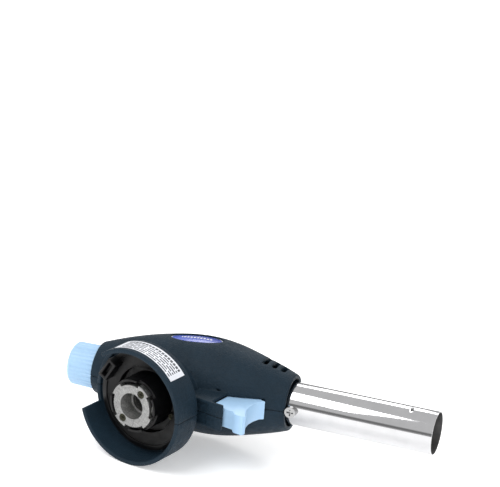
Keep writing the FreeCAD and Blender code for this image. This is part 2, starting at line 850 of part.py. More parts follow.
def valve_body():
    """Cast body: foot on the adapter, tower, spindle barrel and outlet to the jet."""
    foot_low = S.seat_dish + S.seat_wall + S.part_gap
    rise = S.spindle_height / cosine(S.cup_tilt)
    tower = rod("valve_tower", "y", S.tower_radius, rise - foot_low, y=foot_low)
    foot = rod("valve_foot", "y", S.foot_radius, S.foot_height, y=foot_low)
    ears, rooms = [], []
    shank = S.small_shank + S.fit_gap
    for letter, x, z in ear_places():
        ears.append(rod("valve_ear_" + letter, "y", S.ear_radius, S.foot_height, x, foot_low, z))
        rooms.append(rod("ear_room_" + letter, "y", shank, S.seat_screw_length, x, foot_low - 1, z))
    foot_room = S.adapter_screw_face + S.adapter_screw_length - foot_low + 2
    for letter, x, z in adapter_screw_places():
        rooms.append(rod("foot_room_" + letter, "y", shank, foot_room, x, foot_low - 1, z))
    rooms.append(rod("inlet_riser", "y", S.passage * 0.8, rise - foot_low + 1, y=foot_low - 1))
    stem = lean(cut("valve_stem", fused("valve_stem_blank", [tower, foot] + ears), rooms))
    tail = S.barrel_tail
    barrel = rod("valve_barrel", "x", S.barrel_radius, tail + S.barrel_nose, -tail, S.spindle_height)
    outlet = rod("valve_outlet", "x", S.outlet_radius, S.outlet_nose + 3, -3, S.burner_height)
    blank = fused("valve_blank", [stem, barrel, outlet])
    bore_depth = tail - S.barrel_mouth
    spindle_room = rod("spindle_room", "x", S.barrel_bore, bore_depth, -tail, S.spindle_height)
    needle_bore = S.needle_radius + S.needle_room
    needle_room = rod("needle_room", "x", needle_bore, 8, S.needle_start, S.spindle_height)
    seat = rod("needle_seat", "x", S.passage, 8, 2, S.spindle_height)
    rise_to_burner = S.burner_height - S.spindle_height + S.part_gap
    up = rod("outlet_riser", "y", S.passage * 0.8, rise_to_burner, 0, S.spindle_height)
    forward = rod("outlet_passage", "x", S.passage, 17, -1, S.burner_height)
    jet_bore = S.jet_radius + S.fit_gap
    jet_room = rod("jet_room", "x", jet_bore, 5, S.outlet_nose - S.jet_socket, S.burner_height)
    rooms = [spindle_room, needle_room, seat, up, forward, jet_room]
    return {"valve_body": cut("valve_body", blank, rooms)}


def spindle_parts():
    """Needle spindle, its two rings, the gland nut and the control knob, about the spindle axis."""
    tail = -S.barrel_tail
    shoulder = tail + S.barrel_mouth
    thick = S.barrel_bore - S.fit_gap
    groove = S.groove_radius
    knob_rear = -S.knob_reach
    hub_floor = knob_rear + S.knob_floor
    rear = hub_floor + 0.1
    spindle = [(rear, 0), (rear, S.spindle_radius), (shoulder, S.spindle_radius), (shoulder, thick)]
    stations = (S.rear_ring, S.front_ring)
    for start in stations:
        end = start + S.groove_width
        spindle += [(start, thick), (start, groove), (end, groove), (end, thick)]
    spindle += [
        (S.needle_start, thick),
        (S.needle_start, S.needle_radius),
        (S.needle_shoulder, S.needle_radius),
        (S.needle_point, S.needle_point_radius),
        (S.needle_point, 0),
    ]
    seat_radius = groove + S.ring_clearance
    ring_tube = (S.barrel_bore - S.fit_gap * 0.5 - seat_radius) / 2
    rings = []
    for letter, station in zip("ab", stations):
        ring = doc.addObject("Part::Torus", "spindle_ring_" + letter)
        bind(ring, {"Radius1": ring_tube + seat_radius, "Radius2": ring_tube})
        middle = station + S.groove_width / 2
        rings.append(place(ring, middle, S.spindle_height, 0, V(0, 1, 0), 90))
    nut = doc.addObject("Part::Prism", "gland_nut_blank")
    nut.Polygon = 6
    bind(nut, {"Circumradius": S.nut_corner, "Height": S.nut_thickness})
    place(nut, tail - S.nut_thickness, S.spindle_height, 0, V(0, 1, 0), 90)
    bore = S.spindle_radius + S.fit_gap
    nut_bore = rod("gland_nut_bore", "x", bore, THROUGH, tail - 10, S.spindle_height)
    inner = knob_rear + S.knob_length
    grip = S.spindle_radius + S.fit_gap * 0.4
    skirt = S.knob_radius - S.knob_wall
    hollow = inner - S.knob_hollow
    knob = [
        (knob_rear, 0),
        (knob_rear, S.knob_end_radius - S.knob_chamfer),
        (knob_rear + S.knob_chamfer, S.knob_end_radius),
        (inner, S.knob_radius),
        (inner, skirt),
        (hollow, skirt),
        (hollow, S.knob_hub),
        (inner, S.knob_hub),
        (inner, grip),
        (hub_floor, grip),
        (hub_floor, 0),
    ]
    knob_form = place(turned("knob_form", knob), 0, S.spindle_height)
    return {
        "valve_spindle": place(turned("valve_spindle", spindle), 0, S.spindle_height),
        "spindle_rings": group("spindle_rings", rings),
        "gland_nut": cut("gland_nut", nut, [nut_bore]),
        "control_knob": cut("control_knob", knob_form, flutes()),
    }


def flutes():
    """Fine grooves along the knob's grip."""
    grooves = []
    count = int(S.flute_count.value)
    length, start = S.knob_length + 2, -S.knob_reach - 1
    for i in range(count):
        angle = 2 * math.pi * i / count
        y = S.spindle_height + S.knob_radius * math.cos(angle)
        z = S.knob_radius * math.sin(angle)
        grooves.append(rod("flute_%02d" % i, "x", S.flute_radius, length, start, y, z))
    return grooves


# ---- burner line ----


def burner_line():
    gap = S.fit_gap
    outlet = S.outlet_nose
    flange_end, tip = outlet + S.jet_flange, outlet + S.jet_tip
    jet = [
        (outlet - S.jet_socket, S.jet_hole),
        (outlet - S.jet_socket, S.jet_radius),
        (outlet, S.jet_radius),
        (outlet, S.jet_flange_radius),
        (flange_end, S.jet_flange_radius),
        (flange_end, S.jet_cone_radius),
        (tip, S.jet_tip_radius),
        (tip, S.jet_hole),
    ]
    sleeve = S.outlet_radius + gap
    neck_start = S.mixer_shoulder + S.mixer_taper
    end = S.mouth_reach - S.head_inset
    mixer = [
        (S.barrel_nose + S.part_gap, sleeve),
        (S.barrel_nose + S.part_gap, S.mixer_radius),
        (S.mixer_shoulder, S.mixer_radius),
        (neck_start, S.mixer_neck_radius),
        (end, S.mixer_neck_radius),
        (end, S.mixer_neck_bore),
        (neck_start, S.mixer_neck_bore),
        (S.mixer_shoulder, sleeve),
    ]
    mixer_tube = place(turned("mixer_form", mixer), 0, S.burner_height)
    hole, length = S.air_hole_radius, S.mixer_radius * 3
    low = S.burner_height - length / 2
    across = rod("air_hole_across", "z", hole, length, S.air_hole_station, S.burner_height, -length / 2)
    through = rod("air_hole_through", "y", hole, length, S.air_hole_station, low)
    bore = S.tube_radius - S.tube_wall
    flange = bore - gap
    collar = [
        (S.collar_start, S.mixer_neck_radius + gap),
        (S.collar_start, flange),
        (S.collar_end, flange),
        (S.collar_end, S.mixer_neck_radius + gap),
    ]
    collar_form = place(turned("collar_form", collar), 0, S.burner_height)
    nozzle = S.mouth_reach - S.nozzle_inset
    sleeve_bore = S.mixer_neck_radius + gap
    sleeve_out = S.mixer_neck_radius + S.head_wall
    sleeve_end, face = end - S.head_sleeve, end + S.head_thickness
    head = [
        (sleeve_end, sleeve_bore),
        (sleeve_end, sleeve_out),
        (end, sleeve_out),
        (end, flange),
        (face, flange),
        (face, S.nozzle_radius - S.nozzle_lip),
        (nozzle, S.nozzle_radius),
        (nozzle, S.nozzle_radius - S.nozzle_lip),
        (face + 2, S.mixer_neck_bore),
        (end, S.mixer_neck_bore),
        (end, sleeve_bore),
    ]
    head_form = place(turned("head_form", head), 0, S.burner_height)
    below = S.burner_height - S.tube_radius - 2
    screw_room = rod("collar_screw_room", "y", S.screw_shank + gap, 6, S.tube_screw_station, below)
    collar_tools = ring_holes("collar", S.collar_start) + [screw_room]
    return {
        "gas_jet": place(turned("gas_jet", jet), 0, S.burner_height),
        "mixing_tube": cut("mixing_tube", mixer_tube, [across, through]),
        "burner_support": cut("burner_support", collar_form, collar_tools),
        "burner_head": cut("burner_head", head_form, ring_holes("head", end)),
    }


def ring_holes(name, station):
    """Eight gas ports round the burner axis; the first takes the electrode."""
    holes = []
    for i in range(8):
        y, z = electrode_place(45 * i)
        radius = S.flame_port if i else S.insulator_radius + S.fit_gap
        if name == "head":
            radius = S.flame_port
        holes.append(rod("%s_port_%d" % (name, i), "x", radius, 14, station - 1, y, z))
    return holes


def electrode_place(turn=0):
    """Height and depth of a port on the burner's ring, counted from straight down towards -Z."""
    angle = size(S.electrode_angle.value + turn) if turn else S.electrode_angle
    port_circle = S.tube_radius - S.tube_wall - S.port_inset
    return S.burner_height - port_circle * cosine(angle), -(port_circle * sine(angle))


def flame_tube():
    """Polished outer tube with a pressed crimp near the mouth, and the screw under it."""
    bore = S.tube_radius - S.tube_wall
    tail, mouth, radius = S.tube_tail, S.mouth_reach, S.tube_radius
    wall = [(tail, bore), (tail, radius), (mouth, radius), (mouth, bore)]
    form = place(turned("tube_form", wall), 0, S.burner_height)
    below = S.burner_height - radius - 2
    room = rod("tube_screw_room", "y", S.screw_shank + S.fit_gap, 6, S.tube_screw_station, below)
    crimp = doc.addObject("Part::Ellipsoid", "crimp")
    bind(crimp, {"Radius1": S.crimp_depth, "Radius2": S.crimp_length, "Radius3": S.crimp_sweep})
    depth, turn = radius + 0.1, S.crimp_angle
    y, z = S.burner_height - depth * sine(turn), depth * cosine(turn)
    place(crimp, mouth - S.crimp_inset, y, z, V(1, 0, 0), turn)
    fixing = screw("flame_tube_screw", S.tube_screw_length)
    place(fixing, S.tube_screw_station, S.burner_height - S.tube_radius, 0, V(1, 0, 0), 90)
    return {"flame_tube": cut("flame_tube", form, [room, crimp]), "flame_tube_screw": fixing}


def spark_gear():
    """Electrode rod, its ceramic sleeve and the lead from the piezo."""
    y, z = electrode_place()
    start, end = S.insulator_start, S.mouth_reach - S.insulator_inset
    tip = S.mouth_reach - S.electrode_inset
    sleeve = rod("sleeve_form", "x", S.insulator_radius, end - start, start, y, z)
    bore = rod("sleeve_bore", "x", S.electrode_radius + S.fit_gap, end - start + 2, start - 1, y, z)
    electrode = rod("electrode", "x", S.electrode_radius, tip - start, start, y, z)
    lead = doc.addObject("Part::Feature", "ignition_lead")
    last = V(start.value, y.value, z.value)
    lead.Shape = lead_tube([V(*point) for point in LEAD_ROUTE] + [last], S.lead_radius.value)
    return {
        "electrode_insulator": cut("electrode_insulator", sleeve, [bore]),
        "electrode": electrode,
        "ignition_lead": lead,
    }


def lead_tube(points, radius):
    """A tube along straight runs joined by tangent arcs."""
    edges, here = [], points[0]
    for before, corner, after in zip(points, points[1:], points[2:]):
        to_start = (before - corner).normalize()
        to_end = (after - corner).normalize()
        trim = 0.45 * min(before.distanceToPoint(corner), after.distanceToPoint(corner))
        start, end = corner + to_start * trim, corner + to_end * trim
        half_turn = to_start.getAngle(to_end) / 2
        sagitta = trim / math.cos(half_turn) * (1 - math.sin(half_turn))
        middle = corner + (to_start + to_end).normalize() * sagitta
        edges += [Part.makeLine(here, start), Part.Arc(start, middle, end).toShape()]
        here = end
    edges.append(Part.makeLine(here, points[-1]))
    spine = Part.Wire(edges)
    section = Part.Wire(Part.makeCircle(radius, points[0], points[1] - points[0]))
    return spine.makePipeShell([section], True, False)


# ---- trigger and piezo ----


def trigger_parts():
    """Trigger, plunger and piezo unit, which all lie along the trigger's travel."""
    gap = S.part_gap
    rear = S.block_front
    floor = S.block_floor + S.block_wall + gap
    tip = S.lip_reach + S.trigger_travel + gap
    low = S.trigger_low
    points = [(rear, floor), (tip, floor)]
    points += [(tip + reach, low + rise) for reach, rise in TRIGGER_FACE]
    points += [(rear + 4, low + 18.6), (rear, low + 16.4)]
    form = padded("trigger_form", points, S.trigger_half_width)
    height = S.igniter_height
    half, wide = S.pocket_half_height, S.pocket_half_width
    pocket = box("trigger_pocket", (rear - 1, height - half, -wide), (S.plunger_front, height + half, wide))
    trigger = lean(cut("trigger", form, [pocket]))
    length = S.plunger_front - S.plunger_rear
    plunger = rod("plunger_form", "x", S.plunger_radius, length, S.plunger_rear, height)
    case_low = (S.piezo_rear, height - S.piezo_half_height, -S.piezo_half_width)
    case_high = (S.piezo_front, height + S.piezo_half_height, S.piezo_half_width)
    case = box("piezo_case", case_low, case_high)
    bore = rod("piezo_bore", "x", S.plunger_radius + S.fit_gap, THROUGH, S.spring_seat, height)
    coil = doc.addObject("Part::Helix", "spring_line")
    wire = S.spring_wire
    coil_radius = S.plunger_radius - wire - S.spring_clearance
    free = S.plunger_rear - S.spring_seat - wire * 2 - 0.1
    bind(coil, {"Radius": coil_radius, "Height": free, "Pitch": free / S.spring_turns})
    section = doc.addObject("Part::Circle", "spring_section")
    bind(section, {"Radius": wire})
    place(section, coil_radius, 0, 0, V(1, 0, 0), 90)
    spring = doc.addObject("Part::Sweep", "spring_form")
    spring.Sections = [section]
    spring.Spine = (coil, ["Edge1"])
    spring.Solid = True
    spring.Frenet = True
    laid = group("spring_laid", [spring])
    place(laid, S.spring_seat + wire + 0.05, height, 0, V(0, 1, 0), 90)
    return {
        "trigger": trigger,
        "piezo_plunger": lean(group("piezo_plunger", [plunger])),
        "piezo_unit": lean(cut("piezo_unit", case, [bore])),
        "piezo_spring": lean(group("piezo_spring", [laid])),
    }


def build():
    fill_sheet()
    parts = {}
    parts.update(housing())
    parts.update(housing_fittings())
    parts.update(cartridge_seat())
    seat_screws = upright_screws("seat_screws", ear_places(), S.seat_dish, S.seat_screw_length, S.small_head)
    parts.update(seat_screws)
    parts.update(cartridge_adapter())
    face, length, head = S.adapter_screw_face, S.adapter_screw_length, S.plate_screw_head
    parts.update(upright_screws("adapter_screws", adapter_screw_places(), face, length, head))
    parts.update(inlet())
    parts.update(valve_body())
    parts.update(spindle_parts())
    parts.update(burner_line())
    parts.update(flame_tube())
    parts.update(spark_gear())
    parts.update(trigger_parts())
    for name, thing in parts.items():
        thing.Label = name
    doc.recompute()
    return parts


def check(parts):
    for thing in doc.Objects:
        if "Invalid" in thing.State or "Error" in thing.State:
            raise RuntimeError("%s did not build: %s" % (thing.Name, thing.State))
    for name, thing in parts.items():
        if thing.Shape.isNull() or not thing.Shape.isValid() or not thing.Shape.Solids:
            raise RuntimeError("%s has no valid solid" % name)


def main():
    parts = build()
    check(parts)
    os.makedirs("parts", exist_ok=True)
    for name, thing in parts.items():
        thing.Shape.exportStep("parts/%s.step" % name)
        shape = thing.Shape
        print("%-22s solids %d volume %10.1f" % (name, len(shape.Solids), shape.Volume))


main()
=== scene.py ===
from math import cos, radians, sin

import bpy
from bpy.props import FloatProperty, FloatVectorProperty, IntProperty, PointerProperty
from bpy.types import Operator, Panel, PropertyGroup
from mathutils import Matrix, Vector


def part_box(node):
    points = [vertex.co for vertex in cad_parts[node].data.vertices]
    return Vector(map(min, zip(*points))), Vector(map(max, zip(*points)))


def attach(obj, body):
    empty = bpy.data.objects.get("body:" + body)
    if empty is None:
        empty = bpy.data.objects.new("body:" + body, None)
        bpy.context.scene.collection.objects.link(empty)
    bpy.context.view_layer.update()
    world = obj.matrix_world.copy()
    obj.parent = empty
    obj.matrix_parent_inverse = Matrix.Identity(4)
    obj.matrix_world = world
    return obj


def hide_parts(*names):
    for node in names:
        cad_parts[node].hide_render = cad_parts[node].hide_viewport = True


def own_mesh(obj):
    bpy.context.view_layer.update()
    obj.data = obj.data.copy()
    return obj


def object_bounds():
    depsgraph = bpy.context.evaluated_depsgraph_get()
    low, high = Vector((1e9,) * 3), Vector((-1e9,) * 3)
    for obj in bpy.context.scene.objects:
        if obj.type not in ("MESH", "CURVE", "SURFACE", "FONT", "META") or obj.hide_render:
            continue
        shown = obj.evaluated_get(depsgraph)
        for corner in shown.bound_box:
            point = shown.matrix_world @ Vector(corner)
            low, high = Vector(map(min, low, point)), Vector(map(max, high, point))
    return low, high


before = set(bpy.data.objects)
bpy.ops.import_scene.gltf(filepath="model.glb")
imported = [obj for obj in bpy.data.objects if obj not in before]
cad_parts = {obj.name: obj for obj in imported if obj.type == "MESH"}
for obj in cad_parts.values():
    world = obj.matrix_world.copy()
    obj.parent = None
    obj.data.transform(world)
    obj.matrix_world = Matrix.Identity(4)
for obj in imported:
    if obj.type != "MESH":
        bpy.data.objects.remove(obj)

bl_info = {
    "name": "Clip-on Torch Head",
    "version": (1, 0, 0),
    "blender": (4, 5, 0),
    "location": "View3D > Sidebar > Torch",
    "description": "Builds the visible model of a clip-on gas torch head",
    "category": "Object",
}

CAD_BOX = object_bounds()

MM = 0.001
CUP_TILT = radians(13.0)
BURNER_HEIGHT = 40.9 * MM
CRIMP_TURN = radians(12.0)
BADGE_CENTRE = (13.7 * MM, 41.8 * MM)
BADGE_HALF = (13.0 * MM, 5.8 * MM)
CUP_RADIUS_MM = 27.6
CRIMP_STATION = 120.0 * MM
CRIMP_SIZE = (1.1 * MM, 3.2 * MM, 0.45 * MM)
CRIMP_PROUD = 0.1 * MM
BLOCK_FILL = 0.66
JOIN_DISTANCE = 0.000002
FLOOR_GAP = 0.00002
WHITE = (1.0, 1.0, 1.0, 1.0)

# the label's dashes and its printed field, in millimetres on the cup's skin
DASHES = {
    "Scale": 1.0, "Mortar Size": 0.36, "Mortar Smooth": 0.0, "Brick Width": 4.2, "Row Height": 1.45,
}
DASH_FIELD = (0.3, 6.9)
HEAD_MIDDLE, HEAD_HALF = 8.3, 0.75
LABEL_START, LABEL_END = radians(46.0), radians(108.0)

CAMERA_PLACE = (0.2977, -0.7115, 0.3389)
CAMERA_RIGHT = (0.934, 0.349, 0.071)
CAMERA_FORWARD = (-0.311, 0.896, -0.317)
# position and grey level along the room's height
ROOM_STOPS = ((0.0, 0.9), (0.10, 0.35), (0.24, 0.30), (0.30, 1.0), (1.0, 1.0))


# ---- sizes and colours ----


class TorchSizes(PropertyGroup):
    tube_sides: IntProperty(
        name="Tube sides", description="Flat faces round the flame tube",
        default=192, min=48,
    )
    tube_wall: FloatProperty(
        name="Tube wall", description="Thickness of the flame tube's wall",
        default=0.5 * MM, unit="LENGTH",
    )
    tube_edge: FloatProperty(
        name="Tube edge", description="Rounding of the flame tube's rims",
        default=0.15 * MM, unit="LENGTH",
    )
    shell_edge: FloatProperty(
        name="Shell edge", description="Rounding of the housing's edges",
        default=0.35 * MM, unit="LENGTH",
    )
    # painted shade: half the width of the band by the seam that is painted dark as the shadow in the
    # gap between the shells
    seam_shade_half_width: FloatProperty(
        name="Seam", description="Half the dark line where the shells meet",
        default=0.14 * MM, unit="LENGTH",
    )
    trigger_travel: FloatProperty(
        name="Trigger travel", description="How far the trigger goes in",
        default=4.5 * MM, unit="LENGTH",
    )
    seat_edge: FloatProperty(
        name="Seat edge", description="Rounding of the black seat's edges",
        default=0.2 * MM, unit="LENGTH",
    )
    trigger_edge: FloatProperty(
        name="Trigger edge", description="Rounding of the trigger's sides",
        default=0.4 * MM, unit="LENGTH",
    )
    knob_edge: FloatProperty(
        name="Knob edge", description="Rounding of the knob's edges",
        default=0.12 * MM, unit="LENGTH",
    )
    casting_edge: FloatProperty(
        name="Casting edge", description="Rounding of the cast plate's edges",
        default=0.25 * MM, unit="LENGTH",
    )


class TorchColours(PropertyGroup):
    housing: FloatVectorProperty(
        name="Housing", description="Dark blue-grey moulding",
        subtype="COLOR", default=(0.0085, 0.0205, 0.0330),
    )
    sky: FloatVectorProperty(
        name="Controls", description="Light blue knob and trigger",
        subtype="COLOR", default=(0.365, 0.565, 0.79),
    )
    black: FloatVectorProperty(
        name="Seat", description="Black moulding in the cup",
        subtype="COLOR", default=(0.0025, 0.0025, 0.003),
    )
    casting: FloatVectorProperty(
        name="Casting", description="Grainy zinc casting",
        subtype="COLOR", default=(0.37, 0.37, 0.365),
    )
    steel: FloatVectorProperty(
        name="Tube steel", description="Polished stainless steel",
        subtype="COLOR", default=(0.60, 0.60, 0.61),
    )
    zinc: FloatVectorProperty(
        name="Screws", description="Zinc plated steel",
        subtype="COLOR", default=(0.42, 0.42, 0.42),
    )
    olive: FloatVectorProperty(
        name="Plate screws", description="Dark olive plated screws",
        subtype="COLOR", default=(0.045, 0.045, 0.032),
    )
    brass: FloatVectorProperty(
        name="Brass", description="Turned brass",
        subtype="COLOR", default=(0.62, 0.45, 0.19),
    )
    badge_blue: FloatVectorProperty(
        name="Badge field", description="Blue of the badge",
        subtype="COLOR", default=(0.02, 0.07, 0.50),
    )
    badge_deep: FloatVectorProperty(
        name="Badge shade", description="Deeper blue at the badge's front end",
        subtype="COLOR", default=(0.012, 0.035, 0.32),
    )
    label_paper: FloatVectorProperty(
        name="Label", description="Ground of the label",
        subtype="COLOR", default=(0.70, 0.72, 0.77),
    )
    floor: FloatVectorProperty(
        name="Floor", description="Pale floor",
        subtype="COLOR", default=(1.0, 1.0, 1.0),
    )


def sizes():
    return bpy.context.scene.torch_sizes


def colours():
    return bpy.context.scene.torch_colours


# ---- material building ----


class Nodes:
    """Adds shader nodes to one material and joins them."""

    def __init__(self, name):
        self.material = bpy.data.materials.new(name)
        self.material.use_nodes = True
        self.tree = self.material.node_tree
        self.shader = self.tree.nodes["Principled BSDF"]
        self.place = self.add("ShaderNodeTexCoord").outputs["Object"]

    def add(self, kind, **settings):
        node = self.tree.nodes.new(kind)
        for name, value in settings.items():
            setattr(node, name, value)
        return node

    def feed(self, socket, value):
        if isinstance(value, bpy.types.NodeSocket):
            self.tree.links.new(value, socket)
        else:
            socket.default_value = value

    def math(self, operation, first, second=0.0, third=0.0):
        node = self.add("ShaderNodeMath", operation=operation)
        for socket, value in zip(node.inputs, (first, second, third)):
            self.feed(socket, value)
        return node.outputs[0]

    def vector(self, operation, first, second=(0, 0, 0)):
        node = self.add("ShaderNodeVectorMath", operation=operation)
        self.feed(node.inputs[0], first)
        self.feed(node.inputs[1], second)
        return node.outputs["Value" if operation == "LENGTH" else "Vector"]

    def moved(self, shift=(0, 0, 0), turn=(0, 0, 0), stretch=(1, 1, 1), source=None):
        node = self.add("ShaderNodeMapping")
        self.feed(node.inputs["Vector"], source or self.place)
        node.inputs["Location"].default_value = shift
        node.inputs["Rotation"].default_value = turn
        node.inputs["Scale"].default_value = stretch
        return node.outputs["Vector"]

    def noise(self, scale, detail=3.0, roughness=0.5, source=None):
        node = self.add("ShaderNodeTexNoise")
        self.feed(node.inputs["Vector"], source or self.place)
        node.inputs["Scale"].default_value = scale
        node.inputs["Detail"].default_value = detail
        node.inputs["Roughness"].default_value = roughness
        return node.outputs["Fac"]

    def spread(self, value, low, high, start=0.3, end=0.7):
        node = self.add("ShaderNodeMapRange")
        settings = {"Value": value, "From Min": start, "From Max": end, "To Min": low, "To Max": high}
        for name, number in settings.items():
            self.feed(node.inputs[name], number)
        return node.outputs["Result"]

    def mix(self, factor, first, second):
        node = self.add("ShaderNodeMix", data_type="RGBA")
        for index, value in ((0, factor), (6, first), (7, second)):
            self.feed(node.inputs[index], solid(value))
        return node.outputs[2]

    def split(self, source):
        node = self.add("ShaderNodeSeparateXYZ")
        self.feed(node.inputs[0], source)
        return node.outputs

    def rough(self, value):
        self.feed(self.shader.inputs["Roughness"], value)

    def colour(self, value):
        self.feed(self.shader.inputs["Base Color"], solid(value))

    def bump(self, height, depth, strength=1.0):
        node = self.add("ShaderNodeBump")
        node.inputs["Strength"].default_value = strength
        node.inputs["Distance"].default_value = depth
        self.feed(node.inputs["Height"], height)
        self.feed(self.shader.inputs["Normal"], node.outputs["Normal"])


def solid(value):
    """A colour with its alpha; sockets and numbers pass through."""
    if isinstance(value, bpy.types.NodeSocket) or isinstance(value, (int, float)):
        return value
    return (*tuple(value)[:3], 1.0)


def tone(colour, factor):
    return tuple(min(1.0, part * factor) for part in tuple(colour)[:3])


def moulded(name, colour, low, high, grain, depth, tint=0.12, specular=0.5, shade_line_half=0.0):
    """Moulded plastic: spark-eroded grain, faint cloudiness, uneven sheen, and a painted shade line
    along the parting seam.
    """
    n = Nodes(name)
    fine = n.noise(grain, 2.0, 0.6)
    cloud = n.math("ADD", n.noise(90.0, 4.0, 0.6), n.math("SUBTRACT", fine, 0.5))
    body = n.mix(cloud, tone(colour, 1 - tint), tone(colour, 1 + tint))
    # painted shade: a thin band about the seam plane is darkened to a tenth, standing in for the shadow
    # in the gap between the shells
    if shade_line_half:
        height = n.split(n.place)[2]
        painted_seam_mask = n.math("LESS_THAN", n.math("ABSOLUTE", height), shade_line_half)
        body = n.mix(painted_seam_mask, body, tone(colour, 0.1))
    n.colour(body)
    n.rough(n.spread(n.noise(400.0, 3.0), low, high))
    n.bump(fine, depth)
    n.shader.inputs["Specular IOR Level"].default_value = specular
    return n.material


def cast_metal(name, colour):
    """Bead-blasted zinc: sparkling grain of small flats."""
    n = Nodes(name)
    cells = n.add("ShaderNodeTexVoronoi")
    n.feed(cells.inputs["Vector"], n.place)
    cells.inputs["Scale"].default_value = 2600.0
    speck = n.spread(n.noise(1500.0, 4.0, 0.7), 0.0, 1.0, 0.35, 0.65)
    n.colour(n.mix(speck, tone(colour, 0.62), tone(colour, 1.22)))
    n.rough(n.spread(n.noise(900.0, 3.0), 0.30, 0.55))
    n.bump(n.math("ADD", cells.outputs["Distance"], speck), 0.00012, 0.8)
    n.shader.inputs["Metallic"].default_value = 1.0
    return n.material


def turned_metal(name, colour, low, high, stretch, scale=2200.0, depth=0.000012):
    """Machined or plated metal with fine marks drawn out along the stretch."""
    n = Nodes(name)
    marks = n.noise(scale, 3.0, 0.6, n.moved(stretch=stretch))
    n.colour(n.mix(n.noise(160.0, 3.0), tone(colour, 0.86), tone(colour, 1.1)))
    n.rough(n.spread(marks, low, high))
    n.bump(marks, depth, 0.6)
    n.shader.inputs["Metallic"].default_value = 1.0
    return n.material


def tube_steel(name, middle):
    """Mirror-polished outside with faint drawn lines, and a dull, heat-greyed bore."""
    n = Nodes(name)
    steel = colours().steel
    marks = n.noise(3000.0, 3.0, 0.6, n.moved(stretch=(0.02, 1, 1)))
    across = n.moved(shift=(0, -BURNER_HEIGHT, 0), stretch=(0, 1, 1))
    outside = n.math("GREATER_THAN", n.vector("LENGTH", across), middle)
    polished = n.mix(n.noise(160.0, 3.0), tone(steel, 0.90), tone(steel, 1.06))
    sooty = n.mix(n.noise(220.0, 4.0), tone(steel, 0.10), tone(steel, 0.26))
    n.colour(n.mix(outside, sooty, polished))
    n.rough(n.math("SUBTRACT", n.spread(marks, 0.51, 0.56), n.math("MULTIPLY", outside, 0.45)))
    n.bump(marks, 0.0000006, 0.5)
    n.shader.inputs["Metallic"].default_value = 1.0
    return n.material


def badge_print(name):
    """Foil badge: blue field inside a narrow pale rim, with one row of plain blocks."""
    palette = colours()
    n = Nodes(name)
    local = n.moved(
        shift=(-BADGE_CENTRE[0] / BADGE_HALF[0], -BADGE_CENTRE[1] / BADGE_HALF[1], 0),
        stretch=(1 / BADGE_HALF[0], 1 / BADGE_HALF[1], 0),
    )
    x, y, _ = n.split(local)
    field = n.mix(n.spread(x, 0.0, 1.0, -1.0, 1.0), palette.badge_blue, palette.badge_deep)
    blocks = bar_row(n, x, y, 0.0, 0.11, 0.58, 8.0)
    inked = n.mix(blocks, field, (0.88, 0.88, 0.9))
    rim = n.math("GREATER_THAN", n.vector("LENGTH", local), 0.945)
    n.colour(n.mix(rim, inked, (0.70, 0.71, 0.74)))
    n.rough(n.spread(n.noise(500.0), 0.22, 0.34))
    n.shader.inputs["Coat Weight"].default_value = 0.4
    n.shader.inputs["Coat Roughness"].default_value = 0.12
    return n.material


def bar_row(n, x, y, middle, half_height, half_length, count):
    """A row of plain upright blocks, 1 on the blocks and 0 between them."""
    inside = n.math("LESS_THAN", n.math("ABSOLUTE", n.math("SUBTRACT", y, middle)), half_height)
    along = n.math("LESS_THAN", n.math("ABSOLUTE", x), half_length)
    block = n.math("LESS_THAN", n.math("FRACT", n.math("MULTIPLY", x, count)), BLOCK_FILL)
    return n.math("MULTIPLY", n.math("MULTIPLY", inside, along), block)


def label_print(name):
    """Silvered label with a bold bar and rows of plain dashes that follow the cup."""
    palette = colours()
    n = Nodes(name)
    upright = n.moved(turn=(0, 0, CUP_TILT))
    x, y, z = n.split(upright)
    around = n.math("MULTIPLY", n.math("ARCTAN2", z, x), CUP_RADIUS_MM)
    height = n.math("MULTIPLY", y, 1000.0)
    surface = n.add("ShaderNodeCombineXYZ")
    n.feed(surface.inputs[0], around)
    n.feed(surface.inputs[1], height)
    words = n.add("ShaderNodeTexBrick", offset=0.37, squash=1.6, squash_frequency=3)
    n.feed(words.inputs["Vector"], surface.outputs[0])
    for socket, value in (("Color1", WHITE), ("Color2", WHITE), ("Mortar", (0, 0, 0, 1))):
        words.inputs[socket].default_value = value
    for socket, value in DASHES.items():
        words.inputs[socket].default_value = value
    above = n.math("GREATER_THAN", height, DASH_FIELD[0])
    rows = n.math("MULTIPLY", above, n.math("LESS_THAN", height, DASH_FIELD[1]))
    start = n.math("GREATER_THAN", around, LABEL_START * CUP_RADIUS_MM)
    end = n.math("LESS_THAN", around, LABEL_END * CUP_RADIUS_MM)
    inside = n.math("MULTIPLY", start, end)
    text = n.math("MULTIPLY", n.math("MULTIPLY", rows, inside), words.outputs["Color"])
    from_head = n.math("ABSOLUTE", n.math("SUBTRACT", height, HEAD_MIDDLE))
    head_rows = n.math("LESS_THAN", from_head, HEAD_HALF)
    head_gap = n.math("LESS_THAN", n.math("FRACT", n.math("MULTIPLY", around, 0.55)), 0.78)
    head = n.math("MULTIPLY", n.math("MULTIPLY", head_rows, head_gap), inside)
    ink = n.math("MAXIMUM", text, head)
    n.colour(n.mix(ink, palette.label_paper, (0.03, 0.035, 0.045)))
    n.rough(n.spread(n.noise(300.0), 0.30, 0.42))
    n.bump(n.noise(160.0), 0.00003, 0.4)
    return n.material


# ---- mesh helpers ----


def deselect():
    bpy.ops.object.select_all(action="DESELECT")


def take(piece):
    """Makes a piece active and the only one selected."""
    deselect()
    piece.select_set(True)
    bpy.context.view_layer.objects.active = piece
    return piece


def named(name):
    piece = bpy.context.active_object
    piece.name = name
    piece.data.name = name
    return piece


def edit(select="SELECT"):
    bpy.ops.object.mode_set(mode="EDIT")
    bpy.ops.mesh.select_all(action=select)


